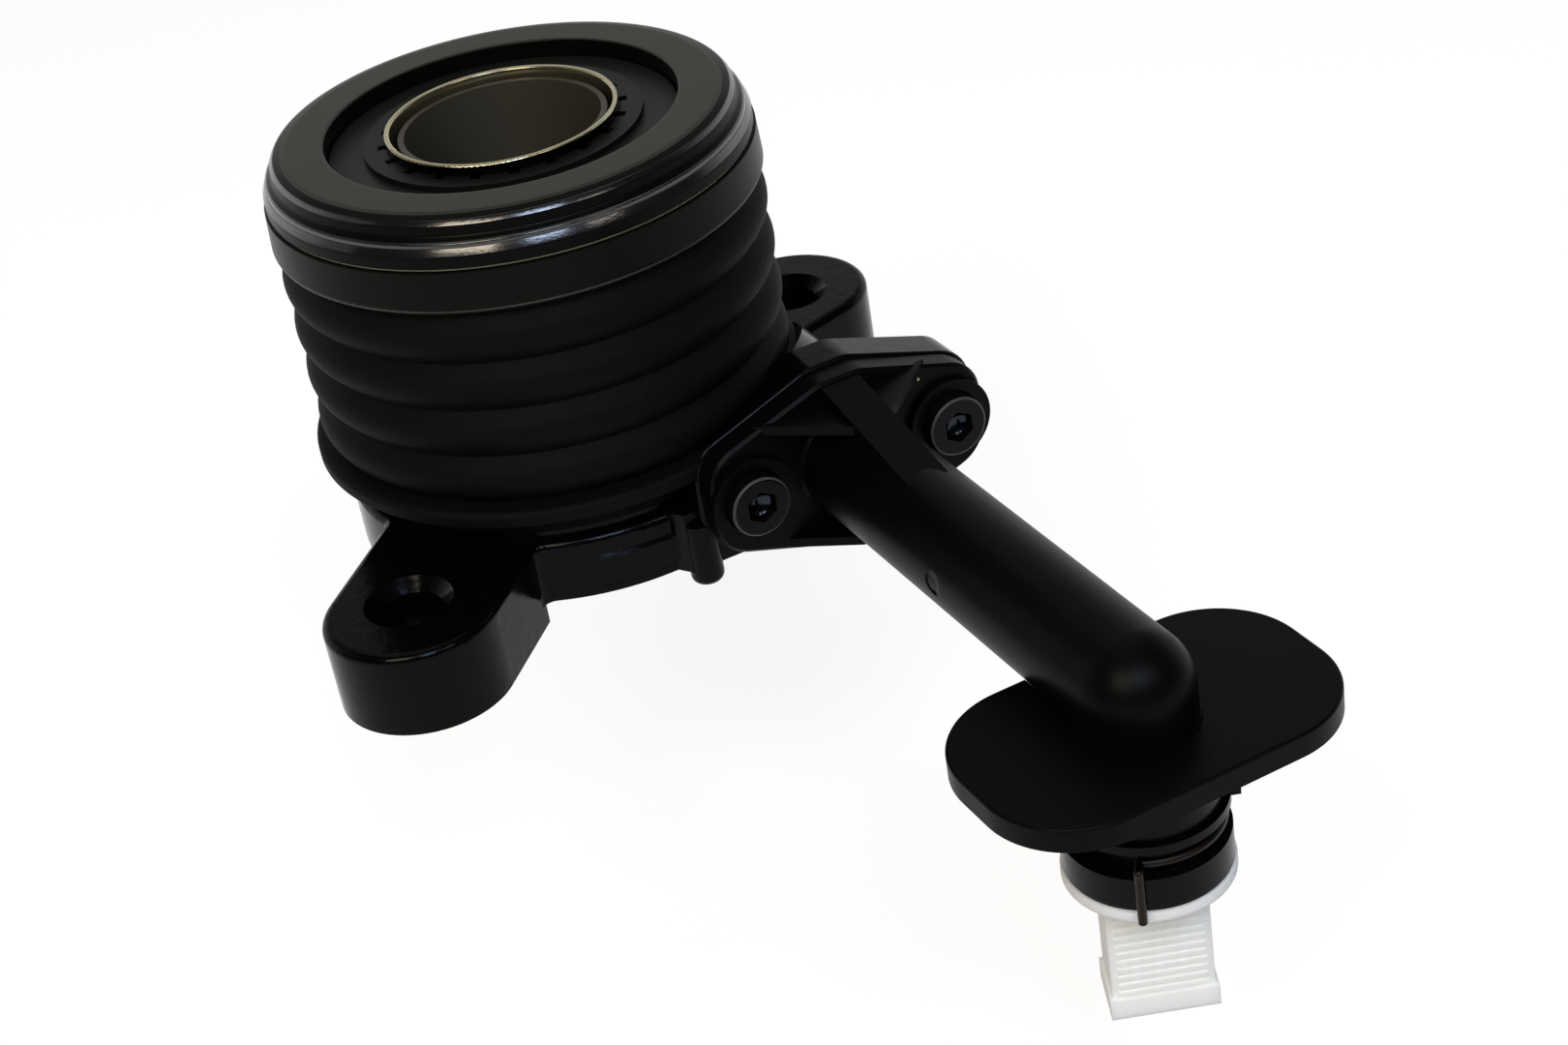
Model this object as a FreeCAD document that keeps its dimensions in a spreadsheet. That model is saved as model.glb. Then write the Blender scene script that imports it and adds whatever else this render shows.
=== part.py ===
import FreeCAD, Part
import Sketcher
import math
import os
import re

# Concentric clutch slave cylinder with its release bearing, in millimetres.
# Origin on the bearing axis at the plane of the mounting ears, +Z towards the bearing,
# the inlet pipe along +X.

SIZES = {
    # Fits and small clearances
    "run_gap": 0.05, "seat_gap": 0.1,
    # Cast housing: everything round the bearing axis follows the radius of the base
    "base_r": 31.0, "base_low": 3.0, "base_top": 12.0, "base_round": 1.2,
    "neck_step": 1.5, "neck_top": 17.0, "floor_top": 7.0,
    "cast_ring": 11.0, "barrel_wall": 3.5, "barrel_top": 34.5,
    "ear_reach": 44.4, "ear_r": 11.7, "ear_flare": 2.0, "ear_root": 8.0,
    "ear_hole_r": 4.3, "ear_chamfer": 1.6, "ear_front_angle": 307.7, "ear_rear_angle": 107.0,
    "ear_front_skew": 8.0, "ear_rear_skew": 0.0, "ear_tip_out": 1.0, "ear_tip_side": 0.7,
    "foot_gap": 0.3, "lug_r": 2.3, "lug_out": 1.2, "lug_y": 4.2, "lug_low": 0.6, "lug_round": 1.2,
    "rim_pad_angle": 36.0, "rim_pad_top": 9.0, "rim_pad_foot": 1.0, "web_in": 1.5, "rim_pad_proud": 0.5,
    # Steel guide sleeve
    "bore_step": 6.8, "sleeve_wall": 0.8, "sleeve_low": 1.6, "sleeve_foot_w": 4.3,
    "sleeve_top": 58.6, "sleeve_ring_r": 1.0, "sleeve_ring_rise": 5.0,
    # Annular piston and its seal
    "piston_low": 24.0, "piston_relief": 1.2, "piston_land": 9.0,
    "seal_deep": 4.2, "lip_open": 1.6, "lip_deep": 1.8,
    # Spring cup, the band under the bearing
    "band_step": 0.3, "cup_wall": 1.4, "cup_low": 47.8, "cup_top": 53.5, "cup_draft": 0.3,
    "web_low": 48.6, "web_deep": 1.5, "cup_round": 0.9,
    # Rotating contact ring
    "face_top": 60.0, "skirt_step": 0.6, "shoulder_top": 57.4, "shoulder_step": 1.4,
    "shoulder_fall": 1.2, "face_slope": 3.9, "face_fall": 0.8, "face_turn": 0.4, "face_round": 4.0,
    "brow_round": 1.5, "shell_low": 53.65, "skirt_edge": 0.35, "face_deep": 3.8, "face_lip": 2.0,
    "lip_round": 0.5,
    # Balls, cage and fixed race
    "ball_r": 2.4, "shell_span": 7.1, "ball_high": 54.6, "ball_count": 16, "ball_gap": 0.05,
    "cage_half": 0.6, "cage_low": 51.5, "cage_top": 55.6, "wall_half": 1.3,
    "race_foot_w": 2.6, "race_foot_deep": 1.2, "race_step": 55.8, "race_clear": 0.7, "race_top": 56.8,
    "carrier_gap": 0.9, "carrier_wall": 0.75, "carrier_top": 59.8, "carrier_foot_deep": 1.2,
    "race_gap": 2.7, "washer_w": 3.8, "washer_deep": 0.8, "notch_reach": 1.8, "washer_notch_w": 1.5,
    "washer_notches": 20, "shield_deep": 0.8, "shield_lip": 0.3,
    # Preload spring
    "coil_gap": 1.4, "wire_r": 1.3, "coil_turns": 4,
    # Dust boot
    "boot_folds": 4, "boot_groove_step": 0.2, "boot_fold_deep": 1.8, "boot_wall": 1.2, "boot_tuck": 0.2,
    "boot_top": 48.3, "boot_fold_top": 46.6, "boot_cuff": 0.5,
    "boot_foot_step": 3.2, "boot_foot_top": 19.2, "boot_fold_flank": 1.1, "boot_bulge": 0.9,
    "boot_foot_fall": 0.3, "boot_foot_round": 0.8, "boot_hold_low": 13.0, "boot_hold_wall": 1.4,
    # Port boss and flange
    "port_offset": 5.0, "pipe_z": 13.8, "screw_span": 30.0, "flange_half": 20.5, "flange_rise": 12.4,
    "flange_end": 6.6, "flange_flat": 3.0, "flange_round": 5.5, "flange_drop": 12.6, "port_gap": 0.3,
    "port_pad_deep": 6.0, "relief_gap": 0.5, "neck_relief": 0.8,
    "boss_proud": 0.6, "boss_edge": 0.6, "port_r": 5.0, "port_deep": 12.0, "drill_r": 1.75, "boss_r": 10.0,
    "way_end": 1.0, "flange_deep": 3.5, "flange_edge": 0.4, "pad_r": 6.1, "pad_proud": 1.0,
    # Socket screws and their bushings
    "screw_r": 2.5, "head_r": 4.25, "head_deep": 3.6, "head_stand": 6.5, "hex_flats": 4.0, "hex_deep": 2.6,
    "screw_reach": 5.9, "bush_wall": 1.4, "bush_gap": 0.1, "head_round": 0.5,
    # Inlet pipe
    "pipe_r": 7.4, "pipe_bore_r": 2.6, "elbow_x": 103.4, "spigot_r": 4.9, "spigot_deep": 9.0,
    "ridge_w": 5.6, "ridge_run": 21.5, "ridge_rise": 11.8, "ridge_sink": 0.4, "web_z": 8.3, "rib_deep": 1.3,
    "web_reach": 8.0, "web_half": 13.0, "low_web_reach": 6.0, "low_web_half": 12.0,
    # O-rings
    "port_ring_r": 0.78, "port_ring_in": 1.5, "socket_ring_r": 1.1,
    # Closing plate
    "plate_w": 29.0, "plate_l": 46.5, "plate_round": 11.8, "plate_top": 9.3, "plate_deep": 3.2,
    "plate_shift": 1.2, "plate_edge": 0.4, "leg_r": 7.6, "leg_stand": 0.5,
    # Line socket, its wire clip and the transport plug
    "socket_r": 10.25, "socket_low": -11.2, "socket_bore_r": 6.0, "socket_bore_top": -1.0,
    "socket_round": 0.5,
    "slot_low": -6.4, "slot_top": -2.8, "slot_r": 8.2, "slot_angle": 205.0, "front_angle": 336.0,
    "socket_neck_r": 9.5, "collar_deep": 1.2, "lug_w": 3.6, "lug_proud": 1.0, "lug_angle": 90.0,
    "spigot_end": 2.6, "leg_spigot_r": 5.0, "clip_r": 9.3, "clip_wire_r": 0.56,
    "clip_tail_low": -12.0, "clip_angle": 322.0, "clip_sweep": 95.0,
    "plug_flange_r": 10.5, "plug_flange_deep": 1.3, "plug_stem_top": -3.2, "plug_stem_r": 3.75,
    "plug_step": -7.2, "grip_w": 12.6, "grip_d": 7.0, "grip_low": -32.6, "grip_ribs": 14,
    "rib_proud": 0.35, "rib_in": 0.8, "toe_w": 13.4, "toe_d": 8.2, "toe_deep": 3.0,
}

# Radii and places that follow another size by a step of their own
FOLLOWS = {
    "neck_r": "(base_r - neck_step)",
    "bore_r": "(base_r - cast_ring)",
    "sleeve_bore_r": "(bore_r - bore_step)",
    "sleeve_out_r": "(sleeve_bore_r + sleeve_wall)",
    "sleeve_foot_r": "(sleeve_bore_r + sleeve_foot_w)",
    "coil_r": "(bore_r + barrel_wall + coil_gap + wire_r)",
    "boot_groove_r": "(base_r + boot_groove_step)",
    "boot_crest_r": "(boot_groove_r + boot_fold_deep)",
    "boot_foot_r": "(base_r + boot_foot_step)",
    "boot_top_r": "(cup_r - cup_wall - boot_tuck)",
    "cup_r": "(boot_crest_r + band_step)",
    "shoulder_r": "(cup_r - skirt_step)",
    "ball_pitch_r": "(shoulder_r - shell_span)",
    "face_in_r": "(ball_pitch_r - face_lip)",
    "carrier_r": "(sleeve_out_r + carrier_gap)",
    "race_bore_r": "(carrier_r + race_gap)",
    "port_face": "(boot_foot_r + port_gap)",
    "pipe_y": "(bore_r + port_offset)",
    "head_top": "(port_face + head_stand)",
    "flange_face": "(port_face + flange_deep)",
    "clip_tail_r": "(plug_flange_r + clip_wire_r + seat_gap)",
}

doc = FreeCAD.newDocument("slave_cylinder")
sheet = doc.addObject("Spreadsheet::Sheet", "Sizes")
for row, (name, value) in enumerate(SIZES.items(), start=1):
    sheet.set("A%d" % row, name)
    sheet.set("B%d" % row, str(value))
    sheet.setAlias("B%d" % row, name)
doc.recompute()


def bound(text):
    """A formula in plain size names, written out in the sheet's own cells."""
    def spelt(match):
        word = match.group(0)
        if word in FOLLOWS:
            return bound(FOLLOWS[word])
        return "Sizes." + word if word in SIZES else word
    return re.sub(r"[a-z][a-z_]+", spelt, str(text))


def worth(text):
    """Work out a formula in plain size names."""
    value = sheet.evalExpression(bound(text))
    return float(getattr(value, "Value", value))


def tie(thing, prop, text):
    thing.setExpression(prop, bound(text))


def new_body(node):
    body = doc.addObject("PartDesign::Body", node)
    body.Label = node
    return body


def plane(body, role):
    return next(f for f in body.Origin.OriginFeatures if f.Role == role)


def outline(body, name, role, points, lift="0", turn=None):
    """A closed sketch on an origin plane. A point is (across, up), or (across, up, centre) where the
    way to the next point, straight above it, is an arc with its centre at that place across."""
    sketch = body.newObject("Sketcher::SketchObject", name)
    sketch.AttachmentSupport = [(plane(body, role), "")]
    sketch.MapMode = "FlatFace"
    tie(sketch, "AttachmentOffset.Base.z", lift)
    if turn is not None:
        sketch.AttachmentOffset = FreeCAD.Placement(
            FreeCAD.Vector(0, 0, worth(lift)), FreeCAD.Rotation(FreeCAD.Vector(0, 0, 1), worth(turn)))
        tie(sketch, "AttachmentOffset.Base.z", lift)
        tie(sketch, "AttachmentOffset.Rotation.Angle", turn)
    spots = [FreeCAD.Vector(worth(p[0]), worth(p[1]), 0) for p in points]
    count = len(points)
    for i, point in enumerate(points):
        start, end = spots[i], spots[(i + 1) % count]
        if len(point) == 3:
            centre = FreeCAD.Vector(worth(point[2]), (start.y + end.y) / 2, 0)
            middle = centre + FreeCAD.Vector((start - centre).Length, 0, 0)
            sketch.addGeometry(Part.Arc(start, middle, end), False)
        else:
            sketch.addGeometry(Part.LineSegment(start, end), False)
    for i in range(count):
        after = (i + 1) % count
        ends = (arc_end(sketch, i, spots[after]), arc_end(sketch, after, spots[after]))
        sketch.addConstraint(Sketcher.Constraint("Coincident", i, ends[0], after, ends[1]))
    for i, point in enumerate(points):
        corner = arc_end(sketch, i, spots[i])
        for kind, text in (("DistanceX", point[0]), ("DistanceY", point[1])):
            number = sketch.addConstraint(Sketcher.Constraint(kind, -1, 1, i, corner, worth(text)))
            tie(sketch, "Constraints[%d]" % number, text)
        if len(point) == 3:
            number = sketch.addConstraint(Sketcher.Constraint("DistanceX", -1, 1, i, 3, worth(point[2])))
            tie(sketch, "Constraints[%d]" % number, point[2])
    return sketch


def arc_end(sketch, number, spot):
    """Which end of a sketch line or arc lies at the spot."""
    return 1 if sketch.getPoint(number, 1).distanceToPoint(spot) < 1e-6 else 2


def disc(body, name, role, across, up, radius, lift="0"):
    """A sketched circle on an origin plane."""
    sketch = body.newObject("Sketcher::SketchObject", name)
    sketch.AttachmentSupport = [(plane(body, role), "")]
    sketch.MapMode = "FlatFace"
    tie(sketch, "AttachmentOffset.Base.z", lift)
    middle = FreeCAD.Vector(worth(across), worth(up), 0)
    sketch.addGeometry(Part.Circle(middle, FreeCAD.Vector(0, 0, 1), worth(radius)), False)
    for kind, text in (("DistanceX", across), ("DistanceY", up)):
        number = sketch.addConstraint(Sketcher.Constraint(kind, -1, 1, 0, 3, worth(text)))
        tie(sketch, "Constraints[%d]" % number, text)
    number = sketch.addConstraint(Sketcher.Constraint("Radius", 0, worth(radius)))
    tie(sketch, "Constraints[%d]" % number, radius)
    return sketch


def cut_check(feature, before):
    """A pocket or groove must have taken something away."""
    if before is not None and not feature.Shape.Volume < before - 1e-6:
        raise RuntimeError("nothing was cut by " + feature.Name)
    return feature


def spin(body, sketch, axis="V_Axis", kind="Revolution"):
    """Turn a sketch through a full circle, added as a Revolution or cut as a Groove."""
    before = body.Shape.Volume if kind == "Groove" else None
    feature = body.newObject("PartDesign::" + kind, sketch.Name + "_" + kind)
    feature.Profile = sketch
    feature.ReferenceAxis = (sketch, [axis])
    feature.Angle = 360.0
    doc.recompute()
    return cut_check(feature, before)


def push(body, sketch, length, kind="Pad", back=False, both=False):
    """Pad a sketch, or cut it as a Pocket, by a length along the plane's own direction."""
    before = body.Shape.Volume if kind == "Pocket" else None
    feature = body.newObject("PartDesign::" + kind, sketch.Name + "_" + kind)
    feature.Profile = sketch
    tie(feature, "Length", length)
    feature.Reversed = back
    feature.Midplane = both
    doc.recompute()
    return cut_check(feature, before)


def soften(body, radius, wanted, kind="Fillet"):
    """Round or chamfer the edges of the body's tip that the test wants."""
    base = body.Tip
    names = ["Edge%d" % (i + 1) for i, edge in enumerate(base.Shape.Edges)
             if not edge.Degenerated and wanted(edge)]
    if not names:
        raise RuntimeError("no edge to soften on " + body.Label)
    feature = body.newObject("PartDesign::" + kind, body.Name + "_" + kind)
    feature.Base = (base, names)
    tie(feature, "Radius" if kind == "Fillet" else "Size", radius)
    doc.recompute()
    return feature


def near(a, b):
    return abs(a - b) < 1e-4


def ring_at(*places):
    """A test for round edges about the upright axis, at pairs of radius and height."""
    spots = [(worth(r), worth(z)) for r, z in places]

    def wanted(edge):
        curve = edge.Curve
        if not isinstance(curve, Part.Circle) or abs(curve.Axis.z) < 0.99:
            return False
        if math.hypot(curve.Center.x, curve.Center.y) > 1e-4:
            return False
        return any(near(curve.Radius, r) and near(curve.Center.z, z) for r, z in spots)
    return wanted


def place(thing, x="0", y="0", z="0"):
    for axis, text in zip("xyz", (x, y, z)):
        tie(thing, "Placement.Base." + axis, text)
    doc.recompute()


def turned(node, points):
    """A body turned about the upright axis from a section of (radius, height) points."""
    body = new_body(node)
    spin(body, outline(body, node + "_section", "XZ_Plane", points))
    return body


def make_housing():
    """Cast base with neck, spring seat and cylinder, two mounting ears and the port boss."""
    inner = "sleeve_out_r + run_gap"
    body = turned("housing", [
        (inner, "base_low"), ("base_r", "base_low"), ("base_r", "base_top"), ("neck_r", "base_top"),
        ("neck_r", "neck_top"), ("bore_r + barrel_wall", "neck_top"), ("bore_r + barrel_wall", "barrel_top"),
        ("bore_r", "barrel_top"), ("bore_r", "floor_top"), (inner, "floor_top")])
    for side in ("front", "rear"):
        skew, angle = "ear_%s_skew" % side, "ear_%s_angle" % side
        across = "ear_reach * cos(%s) + ear_tip_out" % skew
        middle = "ear_tip_side - ear_reach * sin(%s)" % skew
        ear = outline(body, side + "_ear", "XY_Plane", [
            ("base_r - ear_root", middle + " - ear_r"), (across, middle + " - ear_r", across),
            (across, middle + " + ear_r"), ("base_r - ear_root", middle + " + ear_r")],
            turn="%s + %s" % (angle, skew))
        push(body, ear, "base_top")
    flare_ears(body)
    soften(body, "base_round", ring_or_ear_top)
    under = outline(body, "foot_relief", "XZ_Plane", [
        ("0", "-1"), ("base_r + foot_gap", "-1"), ("base_r + foot_gap", "base_low"), ("0", "base_low")])
    spin(body, under, kind="Groove")
    for side in ("front", "rear"):
        hole = disc_turned(body, side + "_hole", "ear_reach", "ear_%s_angle" % side, "ear_hole_r")
        push(body, hole, "base_top", "Pocket", back=True)
    soften(body, "ear_chamfer", ear_mouth, "Chamfer")
    rim = outline(body, "rim_pad", "XZ_Plane", [
        ("base_r - neck_step", "base_low + rim_pad_foot"), ("base_r", "base_low + rim_pad_foot"),
        ("base_r + rim_pad_proud", "base_low + rim_pad_foot + rim_pad_proud"),
        ("base_r + rim_pad_proud", "rim_pad_top - rim_pad_proud"), ("base_r", "rim_pad_top"),
        ("base_r - neck_step", "rim_pad_top")])
    turn_pad = body.newObject("PartDesign::Revolution", "rim_pad_turn")
    turn_pad.Profile = rim
    turn_pad.ReferenceAxis = (rim, ["V_Axis"])
    tie(turn_pad, "Angle", "rim_pad_angle")
    turn_pad.Midplane = True
    doc.recompute()
    add_port_boss(body)
    open_cylinder(body)
    return body


def open_cylinder(body):
    """Clear the cylinder, the sleeve's hole and its O-ring groove, and keep the boot's neck free."""
    inner = "sleeve_out_r + run_gap"
    cylinder = outline(body, "cylinder_bore", "XZ_Plane", [
        ("0", "floor_top"), ("bore_r", "floor_top"), ("bore_r", "barrel_top"), ("0", "barrel_top")])
    hole = outline(body, "sleeve_hole", "XZ_Plane", [
        ("0", "base_low"), (inner, "base_low"), (inner, "sleeve_ring_rise - sleeve_ring_r"),
        ("sleeve_out_r + sleeve_ring_r * 1.9", "sleeve_ring_rise - sleeve_ring_r"),
        ("sleeve_out_r + sleeve_ring_r * 1.9", "sleeve_ring_rise + sleeve_ring_r"),
        (inner, "sleeve_ring_rise + sleeve_ring_r"), (inner, "floor_top"), ("0", "floor_top")])
    neck = outline(body, "boot_hold", "XZ_Plane", [
        ("neck_r - boot_hold_wall", "boot_hold_low"), ("neck_r + neck_relief", "boot_hold_low"),
        ("neck_r + neck_relief", "neck_top + 1"), ("neck_r - boot_hold_wall", "neck_top + 1")])
    relief = outline(body, "boot_relief", "XZ_Plane", [
        ("bore_r + barrel_wall", "neck_top"), ("boot_foot_r + relief_gap", "neck_top"),
        ("boot_foot_r + relief_gap", "barrel_top + 5"), ("bore_r + barrel_wall", "barrel_top + 5")])
    for sketch in (cylinder, hole, neck, relief):
        spin(body, sketch, kind="Groove")
    drill_port(body)


def disc_turned(body, name, reach, angle, radius):
    across, up = "%s * cos(%s)" % (reach, angle), "%s * sin(%s)" % (reach, angle)
    return disc(body, name, "XY_Plane", across, up, radius)


def flare_ears(body):
    """Blend the sides of each ear into the rim of the base."""
    low, top, rim = worth("base_low"), worth("base_top"), worth("base_r")

    def wanted(edge):
        ends = [v.Point for v in edge.Vertexes]
        if len(ends) != 2 or not isinstance(edge.Curve, Part.Line) or abs(ends[0].x - ends[1].x) > 1e-4:
            return False
        heights = sorted(p.z for p in ends)
        return near(heights[0], low) and near(heights[1], top) and near(math.hypot(ends[0].x, ends[0].y), rim)
    soften(body, "ear_flare", wanted)


def ring_or_ear_top(edge):
    """The outer edge all round the top of the base and its ears."""
    top = worth("base_top")
    if any(not near(v.Point.z, top) for v in edge.Vertexes) or not edge.Vertexes:
        return False
    middle = edge.valueAt((edge.FirstParameter + edge.LastParameter) / 2)
    return near(middle.z, top) and math.hypot(middle.x, middle.y) > worth("base_r") - 1e-3


def ear_mouth(edge):
    if not isinstance(edge.Curve, Part.Circle) or not near(edge.Curve.Radius, worth("ear_hole_r")):
        return False
    return near(edge.Curve.Center.z, worth("base_top"))


def rhomb(rim, low_rim):
    """The rounded rhomb of the port flange about the pipe's axis, grown by a rim."""
    half, flat = "flange_half + " + rim, "flange_flat"
    return [("-(%s)" % half, "-flange_end"), ("-" + flat, "-(flange_drop + %s)" % low_rim),
            (flat, "-(flange_drop + %s)" % low_rim), (half, "-flange_end"), (half, "flange_end"),
            (flat, "flange_rise + " + rim), ("-" + flat, "flange_rise + " + rim),
            ("-(%s)" % half, "flange_end")]


def moved(points, across, up):
    return [("%s + (%s)" % (across, p[0]), "%s + (%s)" % (up, p[1])) for p in points]


def add_port_boss(body):
    """The faced pad that the pipe bolts to, with the boss and web behind it."""
    back = "port_face - port_pad_deep"
    pad = outline(body, "port_pad", "YZ_Plane",
                  moved(rhomb("boss_proud", "boss_proud"), "pipe_y", "pipe_z"), back)
    push(body, pad, "port_pad_deep")
    round_along_x(body, "flange_round", back, "port_face")
    soften(body, "boss_edge", rim_of_face("port_face"))
    boss = disc(body, "port_boss", "YZ_Plane", "pipe_y", "pipe_z", "boss_r", "0")
    push(body, boss, back + " + 1")
    web = outline(body, "port_web", "XY_Plane", [
        ("base_r - 1", "0"), ("port_face - web_in", "lug_y - lug_r"), ("port_face - web_in", "pipe_y"),
        (back + " + 1", "pipe_y + flange_half * 0.6"), ("-4", "pipe_y + 6"), ("-4", "bore_r + 1.5"),
        ("bore_r * 0.9", "bore_r * 0.9")], "base_low")
    push(body, web, "base_top - base_low")
    lug = disc(body, "cast_lug", "XY_Plane", "base_r + lug_out", "lug_y", "lug_r", "lug_low")
    push(body, lug, "base_top - lug_low - 2")

    def lug_foot(edge):
        return isinstance(edge.Curve, Part.Circle) and near(edge.Curve.Center.z, worth("lug_low"))
    soften(body, "lug_round", lug_foot)


def drill_port(body):
    """The way of the fluid from the port into the cylinder, and the two tapped holes."""
    port = disc(body, "port", "YZ_Plane", "pipe_y", "pipe_z", "port_r", "port_face")
    push(body, port, "port_deep", "Pocket")
    way = disc(body, "port_way", "YZ_Plane", "pipe_y", "pipe_z", "drill_r", "port_face")
    push(body, way, "port_face - way_end", "Pocket")
    cross = disc(body, "cross_way", "XZ_Plane", "way_end + 1 + drill_r", "pipe_z", "drill_r", "-(pipe_y + 1)")
    push(body, cross, "port_offset + 4", "Pocket", back=True)
    for side in (-1, 1):
        thread = disc(body, "tapped_hole", "YZ_Plane", "pipe_y + (%d) * screw_span / 2" % side, "pipe_z",
                      "screw_r + run_gap", "port_face")
        push(body, thread, "screw_reach + seat_gap", "Pocket")


def rim_of_face(across):
    """A test for the outer edges of a padded outline's face square to X."""
    place_x = worth(across)

    def wanted(edge):
        middle = edge.valueAt((edge.FirstParameter + edge.LastParameter) / 2)
        return all(near(p.x, place_x) for p in [middle] + [v.Point for v in edge.Vertexes])
    return wanted


def round_along_x(body, radius, low, top):
    """Round the corners of the outline that was padded along X between two places."""
    low, top = worth(low), worth(top)

    def wanted(edge):
        if not isinstance(edge.Curve, Part.Line) or len(edge.Vertexes) != 2:
            return False
        a, b = (v.Point for v in edge.Vertexes)
        ends = sorted((a.x, b.x))
        return near(a.y, b.y) and near(a.z, b.z) and near(ends[1], top) and ends[0] >= low - 1e-4
    soften(body, radius, wanted)


def make_guide_sleeve():
    """Thin steel tube through the base, with a foot against its underside."""
    return turned("guide_sleeve", [
        ("sleeve_bore_r", "0"), ("sleeve_out_r", "0"), ("sleeve_out_r", "sleeve_low"),
        ("sleeve_foot_r", "sleeve_low"), ("sleeve_foot_r", "base_low"), ("sleeve_out_r", "base_low"),
        ("sleeve_out_r", "sleeve_top"), ("sleeve_bore_r", "sleeve_top")])


def torus(node, ring, section, x="0", y="0", z="0", along_x=False):
    ring_body = doc.addObject("Part::Torus", node)
    ring_body.Label = node
    if along_x:
        ring_body.Placement.Rotation = FreeCAD.Rotation(FreeCAD.Vector(0, 1, 0), 90)
    tie(ring_body, "Radius1", ring)
    tie(ring_body, "Radius2", section)
    place(ring_body, x, y, z)
    return ring_body


def make_sleeve_seal():
    return torus("sleeve_seal", "sleeve_out_r + sleeve_ring_r * 0.95",
                 "sleeve_ring_r * 0.92", z="sleeve_ring_rise")


def make_piston():
    """Annular piston that slides between the guide sleeve and the cylinder wall."""
    inner, outer = "sleeve_out_r + run_gap", "bore_r - run_gap"
    land, slim = "barrel_top + piston_land", outer + " - piston_relief"
    return turned("piston", [
        (inner, "piston_low"), (outer, "piston_low"), (outer, land), (slim, land + " + piston_relief"),
        (slim, "web_low"), (inner, "web_low")])


def make_piston_seal():
    """Double-lip ring seal under the piston."""
    inner, outer = "sleeve_out_r + run_gap", "bore_r - run_gap"
    low = "piston_low - seal_deep"
    return turned("piston_seal", [
        (inner, low), (inner + " + lip_open * 0.4", low),
        ("(bore_r + sleeve_out_r) / 2", low + " + lip_deep"),
        (outer + " - lip_open * 0.4", low), (outer, low), (outer, "piston_low"), (inner, "piston_low")])


def make_spring_cup():
    """Pressed cup that carries the bearing, with the deep band seen under it."""
    top = "web_low + web_deep"
    body = turned("spring_cup", [
        ("carrier_r + carrier_gap / 3", "web_low"), ("cup_r - cup_wall", "web_low"),
        ("cup_r - cup_wall", "cup_low"), ("cup_r", "cup_low"), ("cup_r - cup_draft", "cup_top"),
        ("cup_r - cup_wall", "cup_top"),
        ("cup_r - cup_wall", top), ("carrier_r + carrier_gap / 3", top)])
    soften(body, "cup_round", ring_at(("cup_r", "cup_low")))
    return body


def make_bearing_carrier():
    """Bright turned sleeve that keeps the bearing clear of the guide sleeve."""
    low, outer = "web_low + web_deep", "carrier_r + carrier_wall"
    foot_top = low + " + carrier_foot_deep"
    body = turned("bearing_carrier", [
        ("carrier_r", low), ("race_bore_r - shield_lip", low), ("race_bore_r - shield_lip", foot_top),
        (outer, foot_top), (outer, "carrier_top"), ("carrier_r", "carrier_top")])
    soften(body, "carrier_wall * 0.3", ring_at(("carrier_r", "carrier_top"), (outer, "carrier_top")))
    return body


def ball_track(body):
    """Cut the round track that the balls run in."""
    spin(body, disc(body, body.Name + "_track", "XZ_Plane", "ball_pitch_r", "ball_high", "ball_r + ball_gap"),
         kind="Groove")


def make_race():
    """Fixed race: a foot on the spring cup and a wall with the inner track."""
    low, wall, neck = "web_low + web_deep", "ball_pitch_r - wall_half", "face_in_r - race_clear"
    foot_top = low + " + race_foot_deep"
    body = turned("bearing_inner_ring", [
        ("race_bore_r", low), ("ball_pitch_r + race_foot_w", low), ("ball_pitch_r + race_foot_w", foot_top),
        (wall, foot_top), (wall, "race_step"), (neck, "race_step"), (neck, "race_top"),
        ("race_bore_r", "race_top")])
    ball_track(body)
    return body


def make_contact_ring():
    """Rotating ring: flat face for the clutch fingers, round brow, lower shoulder and skirt."""
    under = "face_top - face_deep"
    brow, edge = "shoulder_r - face_slope", "shoulder_r - shoulder_step - face_turn"
    body = turned("contact_ring", [
        ("face_in_r", under), ("ball_pitch_r + wall_half", under), ("ball_pitch_r + wall_half", "shell_low"),
        ("shoulder_r - skirt_edge", "shell_low"), ("shoulder_r", "shell_low + skirt_edge"),
        ("shoulder_r", "shoulder_top - shoulder_fall"), ("shoulder_r - face_turn", "shoulder_top"),
        ("shoulder_r - shoulder_step", "shoulder_top + face_turn"), (edge, "face_top - face_fall"),
        (brow, "face_top"), ("face_in_r", "face_top")])
    ball_track(body)
    soften(body, "face_round", ring_at((brow, "face_top")))
    soften(body, "brow_round", ring_at((edge, "face_top - face_fall"),
                                       ("shoulder_r", "shoulder_top - shoulder_fall")))
    soften(body, "lip_round", ring_at(("face_in_r", "face_top"), ("shoulder_r - face_turn", "shoulder_top")))
    return body


def make_cage():
    """Crown cage with a round pocket for each ball."""
    body = turned("ball_cage", [
        ("ball_pitch_r - cage_half", "cage_low"), ("ball_pitch_r + cage_half", "cage_low"),
        ("ball_pitch_r + cage_half", "cage_top"), ("ball_pitch_r - cage_half", "cage_top")])
    pocket = body.newObject("PartDesign::SubtractiveSphere", "ball_pocket")
    tie(pocket, "Radius", "ball_r + ball_gap * 2")
    pocket.AttachmentSupport = [(plane(body, "XY_Plane"), "")]
    pocket.MapMode = "FlatFace"
    tie(pocket, "AttachmentOffset.Base.x", "ball_pitch_r")
    tie(pocket, "AttachmentOffset.Base.z", "ball_high")
    doc.recompute()
    around(body, [pocket], "ball_count")
    return body


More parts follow.
